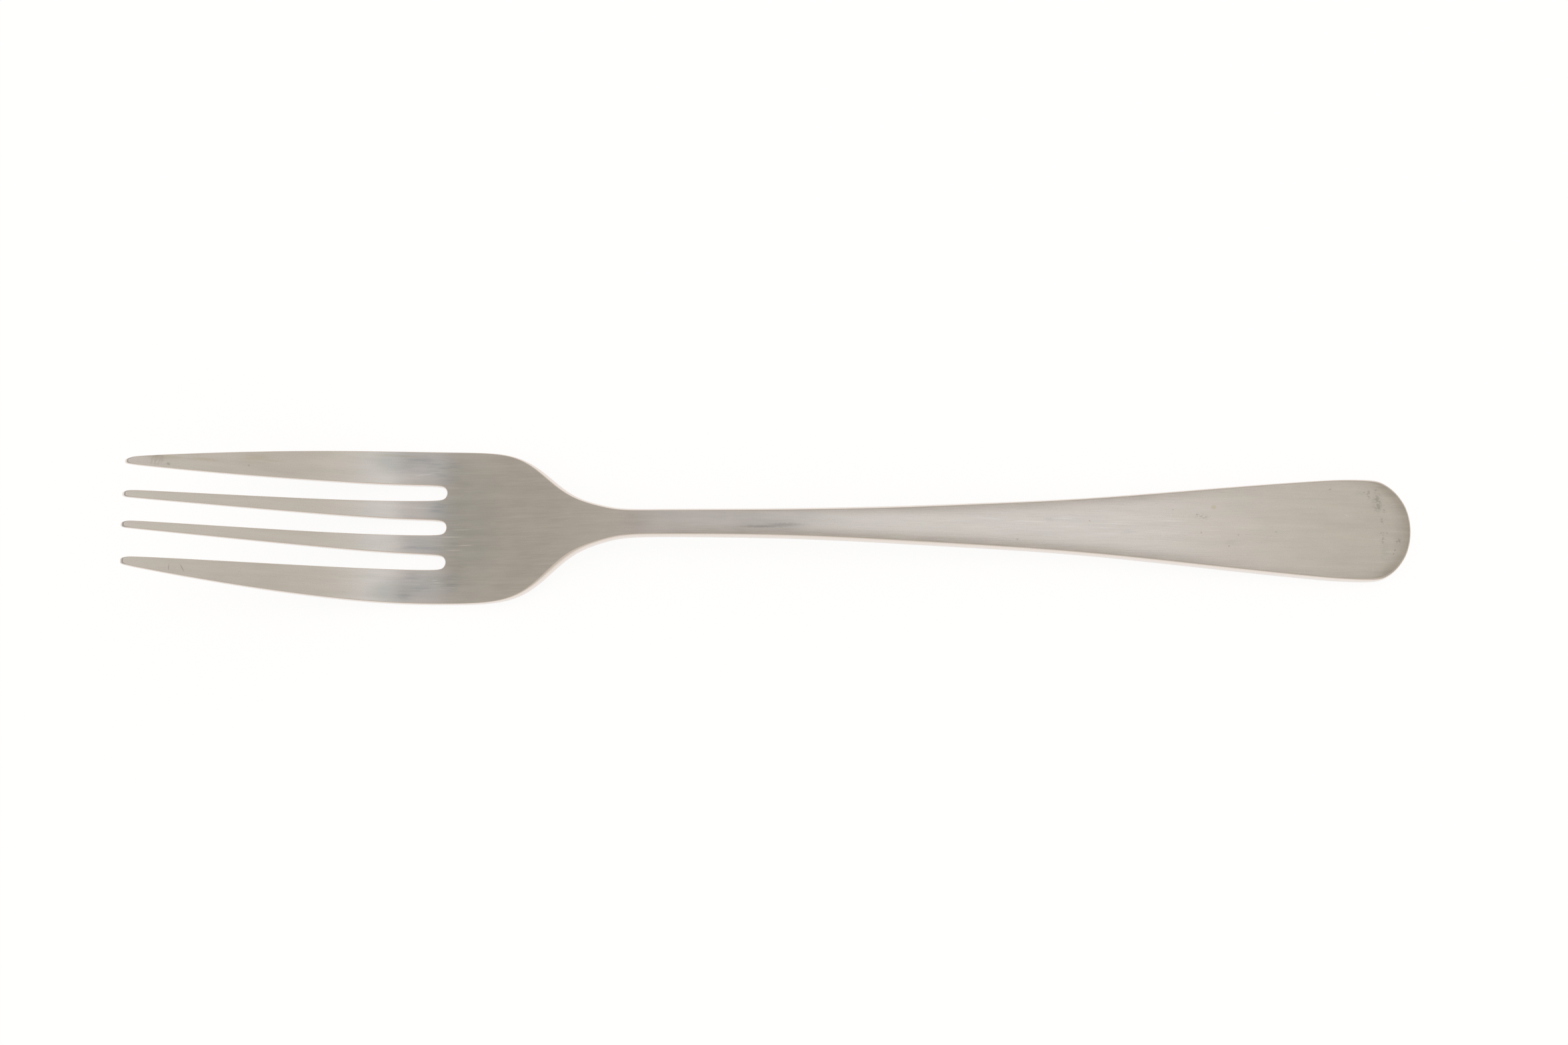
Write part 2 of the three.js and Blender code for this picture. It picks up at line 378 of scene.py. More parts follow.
def round_rim(bm, facing, radius):
    bm.normal_update()
    bmesh.ops.bevel(
        bm, geom=rim_edges(bm, facing), offset=radius, offset_type="OFFSET", affect="EDGES",
        segments=EDGE_SEGMENTS, profile=0.5, material=-1, clamp_overlap=False,
    )


def support_rim(bm):
    """A narrow loop of faces inside the upper rim keeps the broad face flat up to its edge."""
    bm.normal_update()
    upper = [face for face in bm.faces if face.normal.z > LEVEL]
    bmesh.ops.inset_region(bm, faces=upper, thickness=RIM_SUPPORT, use_even_offset=True, use_boundary=True)


def slope_rim(bm):
    """Slopes the rim of the flat bar in and down, softens its lower edge and cuts the tips aslant."""
    for vert in bm.verts:
        x, y, depth = vert.co.x, vert.co.y, -vert.co.z
        thick = thickness(x)
        if depth < UPPER_EDGE_ROUND + HAIR:
            low = depth / UPPER_EDGE_ROUND
            drop = UPPER_EDGE_DROP + SET_IN_DROP * set_in(x, y)
            depth = low * (drop + (END_DROP - UPPER_EDGE_DROP) * near_end(x))
            shrink = (1 - low) * END_SET_IN * near_end(x) / HANDLE_HALF
            x -= max(0.0, x - CROWN_END_X) * shrink
            y *= 1 - shrink - (1 - low) * set_in(x, y) / max(NECK_HALF, half_width(min(x, CROWN_END_X)))
        elif thick - depth < LOWER_EDGE_ROUND + HAIR:
            room = (thick - UPPER_EDGE_DROP) * LOWER_EDGE_SHARE / LOWER_EDGE_ROUND
            depth = thick - (thick - depth) * min(LOWER_EDGE_LIFT, room)
        x += TIP_SLANT * at_tip(x) * (1 - depth / thick)
        vert.co = (x, y, -depth)


def end_roll(x, y):
    """How far the upper face rolls down towards the round end of the handle."""
    inward = end_reach(y) - x
    if x < CROWN_END_X - END_ROLL_REACH or inward > END_ROLL_REACH:
        return 0.0
    return END_ROLL * (1 - max(0.0, inward) / END_ROLL_REACH) ** 2


def bend(bm):
    """Bends the flat bar to the side profile, crowns the neck and handle, and wears flats where it rests."""
    for vert in bm.verts:
        x, y, depth = vert.co.x, vert.co.y, -vert.co.z
        thick = thickness(x)
        low = depth / thick
        out = min(1.0, abs(y) / max(NARROWEST_CROWN, half_width(min(x, CROWN_LAST_X))))
        fall = out ** crown_power(x)
        depth += crown(x) * (low * -fall + (1 - low) * (fall - 1))
        depth += end_roll(x, y) * (1 - low)
        angle = rise(x)
        height = upper_face(x) - depth * math.cos(angle)
        vert.co = Vector((x + depth * math.sin(angle), y + aside_line(x), max(0.0, height))) * MM


WALL_UNROLL = 0.7  # how much of the wall's depth counts as width when the brushing is laid over the edge
# EDGE_TINT, END_TINT and TIP_TINT are shares of the rim's lighter colour, which is partly polished steel and
# partly a painted reflection of the white table
EDGE_TINT = 0.5  # share of the rim's finish on the edge of the broad face
END_TINT = 0.5  # share of it round the end of the handle, against 1 elsewhere
TIP_TINT = 0.2  # share of it at the very ends of the tines


def note_finish(bm):
    """Lays the brushing along the blank while it is flat, and notes which surface is rim or wall."""
    brush = bm.loops.layers.uv.new("brush")
    rim = bm.verts.layers.float.new("rim")
    bm.normal_update()
    for vert in bm.verts:
        steep = any(abs(face.normal.z) < STEEP for face in vert.link_faces)
        level = any(abs(face.normal.z) > LEVEL for face in vert.link_faces)
        vert[rim] = (EDGE_TINT if level else 1.0) if steep else 0.0
        if -vert.co.z < UPPER_EDGE_DROP:
            vert[rim] *= 1 + (END_TINT - 1) * near_end(vert.co.x)
            vert[rim] *= 1 + (TIP_TINT - 1) * at_tip(vert.co.x)
    for face in bm.faces:
        face.smooth = True
        hand = math.copysign(1, face.calc_center_median().y)
        for loop in face.loops:
            x, y, z = loop.vert.co
            loop[brush].uv = (x * MM, (y - hand * z * WALL_UNROLL) * MM)


def fork_mesh():
    bm = bmesh.new()
    front = lay_out_body(bm)
    for hand in (1, -1):
        for kind in ("inner", "outer"):
            draw_out_tine(bm, front, kind, hand)
    sheet = bm.faces[:]
    made = bmesh.ops.extrude_face_region(bm, geom=sheet, use_keep_orig=True)["geom"]
    for vert in (g for g in made if isinstance(g, bmesh.types.BMVert)):
        vert.co.z = -thickness(vert.co.x)
    bmesh.ops.recalc_face_normals(bm, faces=bm.faces[:])
    round_rim(bm, 1, UPPER_EDGE_ROUND)
    round_rim(bm, -1, LOWER_EDGE_ROUND)
    support_rim(bm)
    slope_rim(bm)
    note_finish(bm)
    bend(bm)
    bmesh.ops.recalc_face_normals(bm, faces=bm.faces[:])
    mesh = bpy.data.meshes.new("fork")
    bm.to_mesh(mesh)
    bm.free()
    return mesh


def place(name, data):
    piece = bpy.data.objects.new(name, data)
    bpy.context.scene.collection.objects.link(piece)
    return piece


# The steel, what is on it, and the shade, highlights and reflections painted on it: colours are linear, and
# each tint multiplies the colour under it
STEEL = (0.5265, 0.4965, 0.4655)
SMUDGE_AND_SHADE_TINT = (0.855, 0.88, 0.905, 1)
SKY_REFLECTION_TINT = (0.905, 0.945, 0.97, 1)
STAIN_TINT = (0.74, 0.735, 0.73, 1)
BROWN_TINT = (0.93, 0.905, 0.8, 1)
SCRATCH_TINT = (0.72, 0.71, 0.7, 1)
SCRAPE_TINT = (0.86, 0.845, 0.825, 1)
PAINTED_END_SHADE_TINT = (0.92, 0.91, 0.89, 1)
FILM_TINT = (0.988, 1.0, 0.985, 1)
HEEL_SHADE_TINT = (0.83, 0.86, 0.865, 1)
GREY_AND_SHADE_TINT = (0.92, 0.935, 0.938, 1)
OLIVE_TINT = (0.93, 0.915, 0.865, 1)
# pale bare steel, for real scratches and hairlines and for the painted glints and sheen
BARE_STEEL_AND_SHEEN = (0.66, 0.64, 0.61, 1)
# lighter on rims and walls: partly polished edges, partly painted reflection of the white table
RIM_STEEL_AND_REFLECTION = (0.825, 0.752, 0.7, 1)
BRUSHED = 0.47  # how much more the brushing scatters light across than along
ACROSS = 0.25  # a quarter turn: the brushing runs along the tangent

# Streaks of the brushing and of wear: their length and width in millimetres, and a shift that keeps
# one pattern from lying over another
FINE_STREAKS = (2.4, 0.17, 0)
LONG_STREAKS = (7, 0.4, 31)
BAND_STREAKS = (14, 1.2, 57)
CLOUD_STREAKS = (5, 2.8, 83)
FILM_STREAKS = (9, 2.4, 111)
DRAG_STREAKS = (5, 0.35, 140)
WIPE_STREAKS = (5, 0.4, 140)
GLINT_STREAKS = (7, 0.2, 155)
SPECK_STREAKS = (0.45, 0.3, 170)
HAIRLINES = ((12, 1), (9, -2))  # length, and turn in degrees
HAIRLINE_WIDTH = 0.12
HAIRLINE_SHIFT = 5
DRAG_REACH = 3  # how far smears are dragged along the brushing
WAVER_SCALE = 2500  # waves of a ragged edge in one metre
WAVER_REACH = (0.5, 0.35)  # how far such an edge wavers along and across
NOISE_MIDDLE = 0.5  # a noise lies evenly to both sides of this

# Where a pattern or a direction starts to count, and where it counts in full
HAIRLINE_RANGE = (0.74, 0.82)
FILM_RANGE = (0.4, 0.75)
WIPE_RANGE = (0.36, 0.6)
GLINT_RANGE = (0.58, 0.74)
SPECK_RANGE = (0.42, 0.6)
UPPER_RANGE = (0.1, 0.5)
RIM_RANGE = (0.25, 0.85)
# The band of painted shade inside the handle's round end, standing for the darker room that the rolled end
# reflects, in shares of that end's own length and width
RING_START = (0.05, 0.45)
RING_INSIDE = (0.76, 0.92)
RING_OUTSIDE = (1.0, 0.95)

# How much the patterns change the steel's brightness, roughness and surface
FINE_TONE = 0.09
LONG_TONE = 0.13
BAND_TONE = 0.12
CLOUD_TONE = 0.15
ROUGHNESS = 0.27
ROUGHNESS_CHANGE = 0.06
RIM_POLISH = 0.05
BRUSH_DEPTH = 0.000003
FINE_HEIGHT = 0.7
LONG_HEIGHT = 0.8
HAIRLINE_HEIGHT = -0.5
# The most that a mark can cover of what is under it
STEM_SHARE = 0.9
PALE_SHARE = 0.7
HAIRLINE_SHARE = 0.12
GLINT_SHARE = 0.4
SHEEN_SHARE = 0.24

# Marks of use, and painted shade, highlights and reflections, on the upper face: x, y, half length and half
# width in millimetres, and for some the turn in degrees. How soft their edges are is the share of the mark
# over which they fade; SOFT is all of it
SOFT = 1
HEEL_SHADE_SOFTNESS = 0.7
DOT_SOFTNESS = 0.9
SCRATCH_SOFTNESS = 0.8
PALE_SOFTNESS = 0.9
BROWN_SOFTNESS = 0.6
# Painted shade and painted reflection of the bluish sky light, darker and bluish, where the highlight ends
# at the heel of the head and at the roots of the outer tines
HEEL_SHADE = ((-48.9, 0, 7, 17), (-60.5, 10.5, 5, 3), (-60.5, -10.5, 5, 3))
# Smears that are partly real and partly painted shade: dark bluish streaks that break up the end of the
# highlight at the roots of the tines
SMEARS_AND_SHADE = (
    (-56.2, 10.9, 3.4, 0.8), (-53.0, 9.4, 3.6, 3.4), (-53.7, 3.0, 1.9, 1.9), (-58.3, 2.2, 2.2, 0.6),
    (-55.5, -3.4, 3.6, 1.0), (-58.0, -3.2, 1.4, 0.8), (-57.7, -8.2, 1.8, 1.2), (-58.8, -11.0, 1.6, 1.0),
    (-51.3, -9.0, 2.2, 2.6), (-56.0, -9.8, 2.6, 1.2),
)
# Painted reflection of the bluish sky light: a bluish-grey band across the heel of the head
PAINTED_SKY_REFLECTION = (
    (-53.6, 9.8, 5.5, 3.6), (-54, 2.8, 3.4, 2.4), (-56, -3, 4, 2.2), (-54.5, -9.3, 6, 3.4),
)
# Painted highlights: pale streaky glints in the handle's highlight, and where the highlight ends at the
# roots of the tines
PAINTED_GLINT_ZONES = (
    (44, 0.4, 26, 2.6), (63, -0.6, 15, 4.4), (-52.5, -2.4, 5.5, 2.4), (-56, 9, 4, 2.4),
    (-55.5, 3, 3, 1.6), (-55, -9, 4, 2.6),
)
OLIVE_EDGES = (
    (-94.5, 8.7, 3.4, 0.9), (-89, 8.8, 3.6, 1.1), (-81, 9.5, 5, 1.2), (-60, 11.5, 8, 0.4),
    (-50, -6.6, 1.6, 1.2),
)
# Grey films on the neck and round the handle's end; the wide oval across the tines is painted shade that
# dims their highlight
GREY_FILMS_AND_SHADE = (
    (43, 1.0, 1.3, 0.5), (55, -0.9, 1.6, 0.7), (71.6, -2.4, 1.8, 0.7), (-65, 0, 5.5, 40),
    (0.2, -0.5, 8, 1.1), (95.8, -3.4, 0.9, 2.6), (94.9, 4.4, 1.2, 2.2), (92.2, 5.8, 1.6, 0.5),
)
STEM_SMEARS = ((1.4, -0.42, 4.6, 0.34, 0.5), (-2.2, -0.75, 5.5, 0.3, 0.5))
SPECKLED = (
    (95.0, 4.4, 1.1, 2.4), (93.6, 5.6, 0.4, 1.1), (94.8, 6.4, 0.6, 0.2), (96.0, 3.0, 0.35, 0.5),
    (95.7, -1.6, 0.5, 1.0), (98.2, -1.8, 0.9, 0.7), (66.9, 1.6, 1.5, 0.8), (95.6, 1.4, 0.4, 0.8),
)
DOTS = (
    (93.65, 6.05, 0.26, 0.26), (92.85, 5.95, 0.2, 0.16), (95.2, 3.6, 0.4, 0.7), (94.9, 4.9, 0.34, 0.6),
    (95.4, -0.55, 0.2, 0.14), (95.8, -0.45, 0.2, 0.14), (96.3, -0.5, 0.18, 0.16), (97.8, -1.85, 0.22, 0.2),
    (97.5, -3.3, 0.2, 0.24), (97.2, -3.85, 0.2, 0.22), (66.1, 2.0, 0.22, 0.18), (67.2, 1.5, 0.2, 0.16),
    (62.3, 2.75, 0.2, 0.15), (49.1, 0.75, 0.2, 0.15), (66.7, -0.85, 0.2, 0.15), (72.6, -1.2, 0.2, 0.16),
    (71.0, -3.0, 0.22, 0.16), (78.6, -0.6, 0.25, 0.18), (87.5, 6.4, 0.3, 0.18), (-94.0, 7.55, 0.42, 0.3),
    (-82.5, 8.3, 0.32, 0.22), (37.6, -2.3, 0.28, 0.2),
)
DARK_SCRATCHES = (
    (-95.5, 8.7, 1.0, 0.12, 10), (-91.3, -8.6, 0.95, 0.12, -61), (-93.2, -8.6, 0.7, 0.09, 90),
)
SCRAPES = (
    (-96.3, 7.95, 0.95, 0.2, 78), (-95.75, 7.9, 1.2, 0.26, 82), (-95.2, 8.0, 1.0, 0.2, 70),
    (-94.85, 8.2, 0.9, 0.24, 84), (-95.6, 8.4, 2.2, 0.7),
)
PALE_SCRATCHES = (
    (-56.1, 8.5, 2.3, 0.11, 9), (-51.9, -1.55, 2.6, 0.12), (-49.3, -2.9, 1.8, 0.1),
    (-51.1, -3.75, 1.9, 0.1), (-50.2, -0.4, 2.5, 0.08), (-53.7, -8.9, 0.9, 0.1),
    (-54.0, -8.5, 0.8, 0.08), (-56.6, 3.1, 1.8, 0.08, 2), (90.0, 2.2, 0.6, 0.09, -29),
)
BROWN_SPOTS = ((68.8, 3.2, 0.55, 0.5),)
# Painted sheen that lightens the inner tines
PAINTED_INNER_SHEEN = ((-84, 2.45, 22, 1.7), (-84, -2.45, 22, 1.7))


def node(tree, kind, inputs, **settings):
    made = tree.nodes.new("ShaderNode" + kind)
    for name, value in settings.items():
        setattr(made, name, value)
    for key, value in inputs.items():
        if isinstance(value, bpy.types.NodeSocket):
            tree.links.new(value, made.inputs[key])
        else:
            made.inputs[key].default_value = value
    return made


def reckon(tree, operation, *values):
    return node(tree, "Math", dict(enumerate(values)), operation=operation).outputs[0]


def ease(tree, value, low, high):
    """0 at low, 1 at high, with a smooth step between."""
    inputs = {"Value": value, "From Min": low, "From Max": high}
    return node(tree, "MapRange", inputs, interpolation_type="SMOOTHSTEP", clamp=False).outputs["Result"]


def layered(tree, start, *layers):
    """start plus each layer times its weight; the middle of a layer's noise leaves the start as it is."""
    total = start - sum(weight for _, weight in layers) * NOISE_MIDDLE
    for layer, weight in layers:
        total = reckon(tree, "MULTIPLY_ADD", layer, weight, total)
    return total


def streaks(tree, where, length, width, shift, turn=0, detail=2):
    """Random streaks of about this length and width in millimetres."""
    inputs = {
        "Vector": where,
        "Location": (shift * MM, shift * MM, 0),
        "Rotation": (0, 0, math.radians(turn)),
        "Scale": (length * MM, width * MM, 1),
    }
    laid = node(tree, "Mapping", inputs, vector_type="TEXTURE")
    inputs = {"Vector": laid.outputs[0], "Scale": 1, "Detail": detail}
    return node(tree, "TexNoise", inputs, noise_dimensions="2D").outputs["Fac"]


def laid_over(tree, where, x, y, length, width, turn=0):
    """Places measured from the middle of an oval, in shares of its half length and half width."""
    if turn:
        inputs = {
            "Vector": where,
            "Location": (x * MM, y * MM, 0),
            "Rotation": (0, 0, math.radians(turn)),
            "Scale": (length * MM, width * MM, 1),
        }
        return node(tree, "Mapping", inputs, vector_type="TEXTURE").outputs[0]
    scale = (1 / (length * MM), 1 / (width * MM), 0)
    middle = (-x / length, -y / width, 0)
    return node(tree, "VectorMath", {0: where, 1: scale, 2: middle}, operation="MULTIPLY_ADD").outputs[0]


def marks(tree, where, places, softness):
    """Ovals on the upper face, 1 inside and 0 outside, added up."""
    total = 0
    for oval in places:
        laid = laid_over(tree, where, *oval)
        reach = node(tree, "VectorMath", {0: laid}, operation="LENGTH").outputs["Value"]
        total = reckon(tree, "ADD", total, ease(tree, reach, 1, 1 - softness))
    return total


def tinted(tree, colour, share, tint, how="MULTIPLY"):
    mix = tree.nodes.new("ShaderNodeMix")
    mix.data_type = "RGBA"
    mix.blend_type = how
    colours = [socket for socket in mix.inputs if socket.type == "RGBA"]
    tree.links.new(share, mix.inputs[0])
    for socket, value in zip(colours, (colour, tint)):
        if isinstance(value, bpy.types.NodeSocket):
            tree.links.new(value, socket)
        else:
            socket.default_value = value
    return next(socket for socket in mix.outputs if socket.type == "RGBA")


def dragged(tree, where, noise, reach):
    """Places moved along the fork by a noise, so that a mark looked up there is smeared."""
    along = reckon(tree, "MULTIPLY_ADD", noise, reach * MM, -reach * MM * NOISE_MIDDLE)
    move = node(tree, "CombineXYZ", {"X": along}).outputs[0]
    return node(tree, "VectorMath", {0: where, 1: move}, operation="ADD").outputs[0]


def painted_end_shade(tree, where):
    """1 in a band of painted shade just inside the rim of the handle's round end."""
    inputs = {
        "Vector": where,
        "Location": (CROWN_END_X * MM, 0, 0),
        "Scale": ((END_X - CROWN_END_X) * MM, HANDLE_HALF * MM, 1),
    }
    laid = node(tree, "Mapping", inputs, vector_type="TEXTURE").outputs[0]
    flat = node(tree, "VectorMath", {0: laid, 1: (1, 1, 0)}, operation="MULTIPLY").outputs[0]
    out = node(tree, "VectorMath", {0: flat}, operation="LENGTH").outputs["Value"]
    past = ease(tree, node(tree, "SeparateXYZ", {0: laid}).outputs["X"], *RING_START)
    band = reckon(tree, "MULTIPLY", ease(tree, out, *RING_INSIDE), ease(tree, out, *RING_OUTSIDE))
    return reckon(tree, "MULTIPLY", band, past)


def satin_steel():
    material = bpy.data.materials.new("satin_steel")
    material.use_nodes = True
    tree = material.node_tree
    shader = tree.nodes["Principled BSDF"]
    blank = node(tree, "UVMap", {}, uv_map="brush").outputs[0]
    texture_place = node(tree, "TexCoord", {})
    spot = texture_place.outputs["Object"]
    upward = node(tree, "SeparateXYZ", {0: texture_place.outputs["Normal"]}).outputs["Z"]
    upper = ease(tree, upward, *UPPER_RANGE)
    rim = ease(tree, node(tree, "Attribute", {}, attribute_name="rim").outputs["Fac"], *RIM_RANGE)

    fine = streaks(tree, blank, *FINE_STREAKS)
    long = streaks(tree, blank, *LONG_STREAKS)
    bands = streaks(tree, blank, *BAND_STREAKS)
    cloud = streaks(tree, blank, *CLOUD_STREAKS, detail=3)
    film = streaks(tree, blank, *FILM_STREAKS, detail=3)
    hairs = []
    for length, turn in HAIRLINES:
        hair = streaks(tree, blank, length, HAIRLINE_WIDTH, turn + HAIRLINE_SHIFT, turn, detail=0)
        hairs.append(ease(tree, hair, *HAIRLINE_RANGE))
    hairlines = reckon(tree, "MAXIMUM", *hairs)

    # Marks have ragged edges: the place at which they are looked up wavers with a fine noise.
    # Smears are dragged along the brushing as well
    waver = node(tree, "TexNoise", {"Vector": spot, "Scale": WAVER_SCALE, "Detail": 2})
    inputs = {0: waver.outputs["Color"], 1: (NOISE_MIDDLE, NOISE_MIDDLE, NOISE_MIDDLE)}
    offset = node(tree, "VectorMath", inputs, operation="SUBTRACT")
    inputs = {0: offset.outputs[0], 1: (WAVER_REACH[0] * MM, WAVER_REACH[1] * MM, 0), 2: spot}
    ragged = node(tree, "VectorMath", inputs, operation="MULTIPLY_ADD").outputs[0]
    smeared = dragged(tree, ragged, streaks(tree, blank, *DRAG_STREAKS), DRAG_REACH)
    wiped = ease(tree, streaks(tree, blank, *WIPE_STREAKS, detail=3), *WIPE_RANGE)
    # streaks along which the painted glints show
    glint_streaks = ease(tree, streaks(tree, blank, *GLINT_STREAKS), *GLINT_RANGE)
    specks = ease(tree, streaks(tree, blank, *SPECK_STREAKS, detail=1), *SPECK_RANGE)

    def times(value, other):
        return reckon(tree, "MULTIPLY", value, other)

    def more(value, other):
        return reckon(tree, "MAXIMUM", value, other)

    def on_top(where, places, softness):
        return times(reckon(tree, "MINIMUM", marks(tree, where, places, softness), 1), upper)

    # painted shade and sky reflection at the heel
    heel_shade = on_top(ragged, HEEL_SHADE, HEEL_SHADE_SOFTNESS)
    # smears, and painted shade at the end of the highlight
    smear_and_shade = times(on_top(smeared, SMEARS_AND_SHADE, SOFT), wiped)
    # painted sky reflection
    sky_reflection = on_top(smeared, PAINTED_SKY_REFLECTION, SOFT)
    olive = times(on_top(smeared, OLIVE_EDGES, SOFT), wiped)
    # grey films, and painted shade over the tines' highlight
    grey_and_shade = on_top(smeared, GREY_FILMS_AND_SHADE, SOFT)
    stem = times(on_top(smeared, STEM_SMEARS, SOFT), STEM_SHARE)
    speckled = times(on_top(ragged, SPECKLED, SOFT), specks)
    dots = on_top(ragged, DOTS, DOT_SOFTNESS)
    scratch = on_top(spot, DARK_SCRATCHES, SCRATCH_SOFTNESS)
    scrape = on_top(ragged, SCRAPES, SOFT)
    pale = on_top(spot, PALE_SCRATCHES, PALE_SOFTNESS)
    brown = on_top(ragged, BROWN_SPOTS, BROWN_SOFTNESS)
    stain = more(more(stem, dots), speckled)
    # painted shade inside the handle's round end
    shade = times(painted_end_shade(tree, spot), upper)

    tone = layered(
        tree, 1, (fine, FINE_TONE), (long, LONG_TONE), (bands, BAND_TONE), (cloud, CLOUD_TONE),
    )
    colour = node(tree, "VectorMath", {0: STEEL, "Scale": tone}, operation="SCALE").outputs[0]
    colour = tinted(tree, colour, ease(tree, film, *FILM_RANGE), FILM_TINT)
    # Some of these tints are painted: the heel shade, the sky reflection and the end shade, and in part the
    # smears and grey films
    for share, tint in (
        (heel_shade, HEEL_SHADE_TINT), (smear_and_shade, SMUDGE_AND_SHADE_TINT), (olive, OLIVE_TINT), (sky_reflection, SKY_REFLECTION_TINT),
        (grey_and_shade, GREY_AND_SHADE_TINT), (stain, STAIN_TINT), (scratch, SCRATCH_TINT), (scrape, SCRAPE_TINT),
        (brown, BROWN_TINT), (shade, PAINTED_END_SHADE_TINT),
    ):
        colour = tinted(tree, colour, share, tint)
    # painted glints along the glint streaks
    glints = times(on_top(smeared, PAINTED_GLINT_ZONES, SOFT), glint_streaks)
    # Real scratches and hairlines show pale bare steel, and so do the painted glints and sheen
    bare_and_sheen = more(times(pale, PALE_SHARE), times(hairlines, HAIRLINE_SHARE))
    bare_and_sheen = more(bare_and_sheen, times(glints, GLINT_SHARE))
    # painted sheen on the inner tines
    bare_and_sheen = more(bare_and_sheen, times(on_top(spot, PAINTED_INNER_SHEEN, SOFT), SHEEN_SHARE))
    colour = tinted(tree, colour, bare_and_sheen, BARE_STEEL_AND_SHEEN, "MIX")
    # rims and walls: polished steel and painted reflection of the white table
    colour = tinted(tree, colour, rim, RIM_STEEL_AND_REFLECTION, "MIX")
    tree.links.new(colour, shader.inputs["Base Color"])

    rough = layered(tree, ROUGHNESS, *((layer, ROUGHNESS_CHANGE) for layer in (fine, long, cloud)))
    rough = reckon(tree, "MULTIPLY_ADD", rim, -RIM_POLISH, rough)
    tree.links.new(rough, shader.inputs["Roughness"])

    height = layered(
        tree, NOISE_MIDDLE, (fine, FINE_HEIGHT), (long, LONG_HEIGHT), (hairlines, HAIRLINE_HEIGHT),
    )
    bump = node(tree, "Bump", {"Height": height, "Strength": 1, "Distance": BRUSH_DEPTH})
    tree.links.new(bump.outputs[0], shader.inputs["Normal"])
    tangent = node(tree, "Tangent", {}, direction_type="UV_MAP", uv_map="brush")
    tree.links.new(tangent.outputs[0], shader.inputs["Tangent"])
    shader.inputs["Metallic"].default_value = 1
    shader.inputs["Anisotropic"].default_value = BRUSHED
    shader.inputs["Anisotropic Rotation"].default_value = ACROSS
    return material


fork = place("fork", fork_mesh())
fork.data.materials.append(satin_steel())
smoothing = fork.modifiers.new("smoothing", "SUBSURF")
smoothing.levels = SMOOTH_LEVELS
smoothing.render_levels = SMOOTH_LEVELS
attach(fork, "root")
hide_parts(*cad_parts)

# The camera: nearly straight above, leaning towards the near side; distances are metres
LENS_MM = 60
SENSOR_MM = 36
CAMERA_TILT = math.radians(11.1)
CAMERA_ROLL = math.radians(0.18)
CAMERA_DISTANCE = 0.4156
LOOK_AT = Vector((0.00106, 0.00133, 0))
NEAREST_SEEN = 0.01


def add_camera():
    lens = bpy.data.cameras.new("camera")
    lens.lens = LENS_MM
    lens.sensor_width = SENSOR_MM
    lens.sensor_fit = "HORIZONTAL"
    lens.clip_start = NEAREST_SEEN
    camera = place("camera", lens)
    tilt, roll = CAMERA_TILT, CAMERA_ROLL
    back = Vector((math.sin(tilt) * math.sin(roll), -math.sin(tilt) * math.cos(roll), math.cos(tilt)))
    right = Vector((math.cos(roll), math.sin(roll), 0))
    turn = Matrix((right, back.cross(right), back)).transposed()
    camera.matrix_world = Matrix.Translation(LOOK_AT + back * CAMERA_DISTANCE) @ turn.to_4x4()
    bpy.context.scene.camera = camera


add_camera()

# The table is white paper. Where the camera or the steel looks at it, most of its white is its own glow,
# and the rest is lit, so that the fork's shadow stays on it
PAPER = (0.93, 0.925, 0.915, 1)
PAPER_SEEN = (0.18, 0.1794, 0.177, 1)
PAPER_GLOW = 0.88
TABLE_HALF = 2
TABLE_Z = -0.0001  # just under the flats on which the fork rests


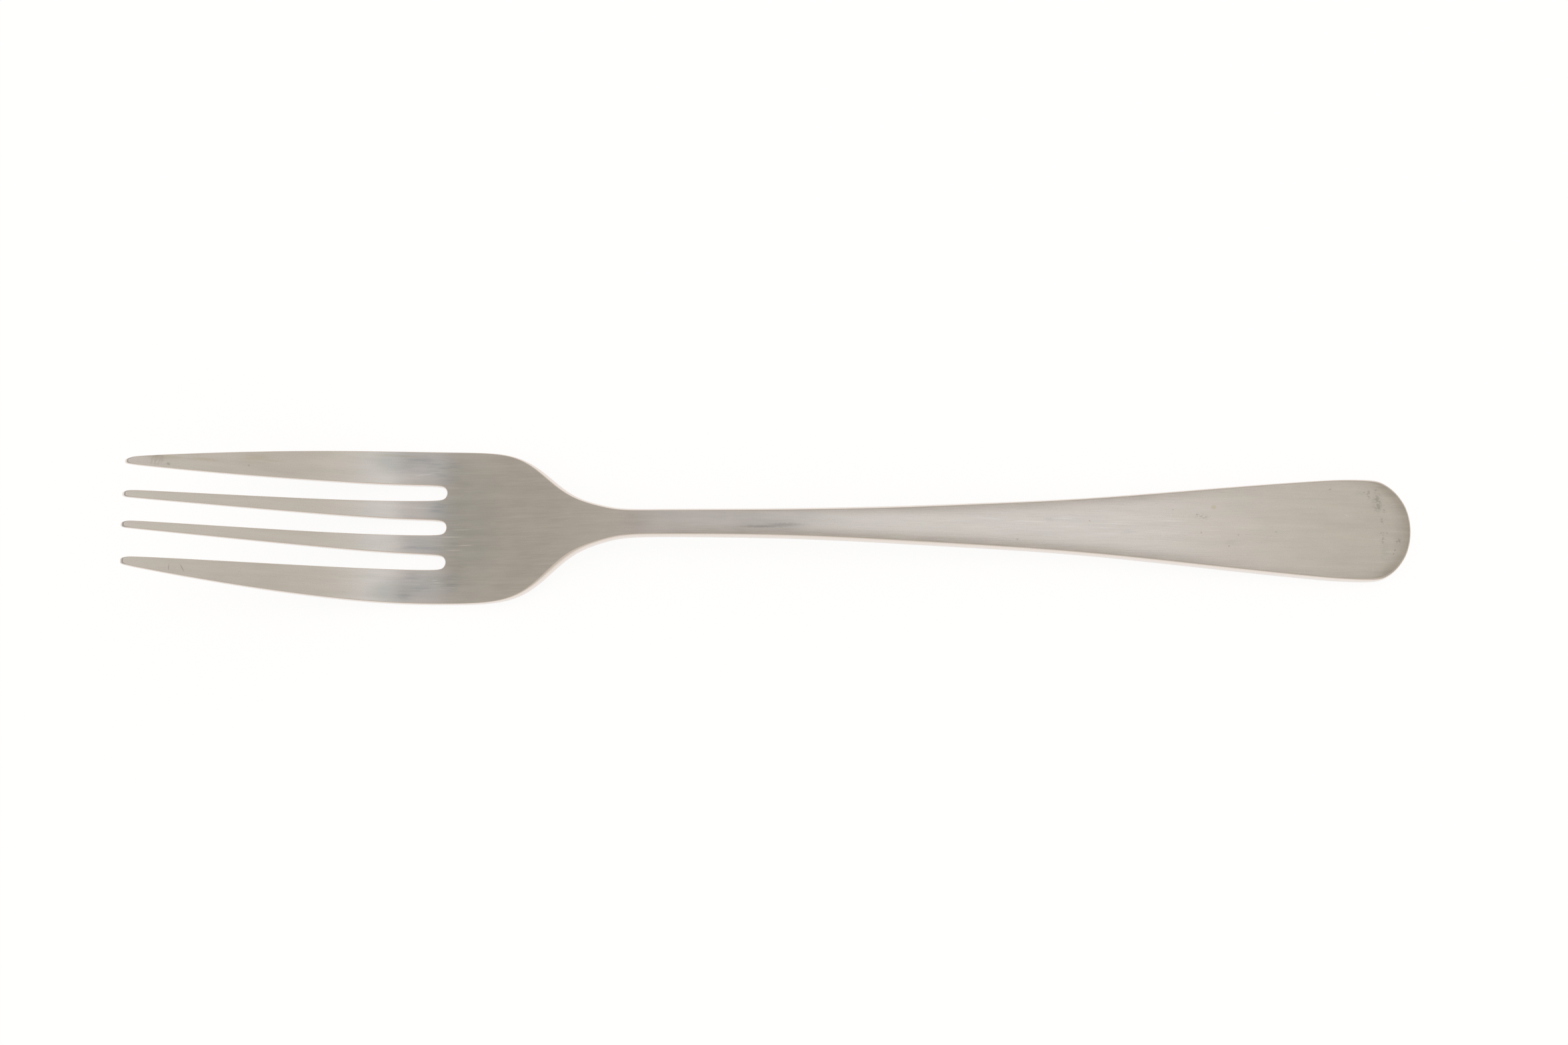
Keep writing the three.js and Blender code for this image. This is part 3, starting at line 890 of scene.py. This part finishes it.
def white_table():
    material = bpy.data.materials.new("white_table")
    material.use_nodes = True
    tree = material.node_tree
    tree.nodes.clear()
    path = node(tree, "LightPath", {})
    seen = reckon(tree, "MAXIMUM", path.outputs["Is Camera Ray"], path.outputs["Is Glossy Ray"])
    seen = reckon(tree, "MAXIMUM", seen, path.outputs["Is Transmission Ray"])
    colour = tinted(tree, PAPER, seen, PAPER_SEEN, "MIX")
    paper = node(tree, "BsdfDiffuse", {"Color": colour})
    glow = node(tree, "Emission", {"Strength": reckon(tree, "MULTIPLY", seen, PAPER_GLOW)})
    both = node(tree, "AddShader", {0: paper.outputs[0], 1: glow.outputs[0]})
    node(tree, "OutputMaterial", {"Surface": both.outputs[0]})
    return material


def add_table():
    bm = bmesh.new()
    bmesh.ops.create_grid(bm, x_segments=1, y_segments=1, size=TABLE_HALF)
    bmesh.ops.translate(bm, verts=bm.verts[:], vec=(0, 0, TABLE_Z))
    mesh = bpy.data.meshes.new("table")
    bm.to_mesh(mesh)
    bm.free()
    table = place("table", mesh)
    mesh.materials.append(white_table())


add_table()

# Five soft boxes hang side by side along the fork, over the far side of the table, and the room is warm
SOFTBOX_HEIGHT = 0.8
SOFTBOXES = (
    # name, from and to x, from and to y, brightness, colour
    ("fill_softbox", (-0.46, -0.27), (0.03, 0.36), 0.12, (1, 0.99, 0.97)),
    ("sky_softbox", (-0.18, 0.075), (0.045, 0.46), 0.27, (0.69, 0.77, 1)),
    ("side_softbox", (0.075, 0.17), (-0.005, 0.42), 0.67, (0.86, 0.9, 1)),
    ("key_softbox", (0.17, 0.285), (0.005, 0.31), 0.76, (0.86, 0.9, 1)),
    ("warm_softbox", (0.285, 0.42), (0.03, 0.36), 0.335, (0.98, 0.97, 0.86)),
)
SOFTBOX_POWER = 4  # watts for each square metre of a lamp whose brightness is 1
ROOM = (0.685, 0.64, 0.581, 1)


def add_softbox(name, where, width, length, brightness, colour):
    """A lamp that hangs level and shines down; brightness 1 is as bright as white paper in plain light."""
    lamp = bpy.data.lights.new(name, "AREA")
    lamp.shape = "RECTANGLE"
    lamp.size = width
    lamp.size_y = length
    lamp.energy = brightness * SOFTBOX_POWER * width * length
    lamp.color = colour
    place(name, lamp).location = where


for name, along, across, brightness, colour in SOFTBOXES:
    where = (sum(along) / 2, sum(across) / 2, SOFTBOX_HEIGHT)
    add_softbox(name, where, along[1] - along[0], across[1] - across[0], brightness, colour)

world = bpy.data.worlds.new("studio")
world.use_nodes = True
world.node_tree.nodes["Background"].inputs["Color"].default_value = ROOM
world.node_tree.nodes["Background"].inputs["Strength"].default_value = 1
bpy.context.scene.world = world
bpy.context.scene.view_settings.view_transform = "Standard"
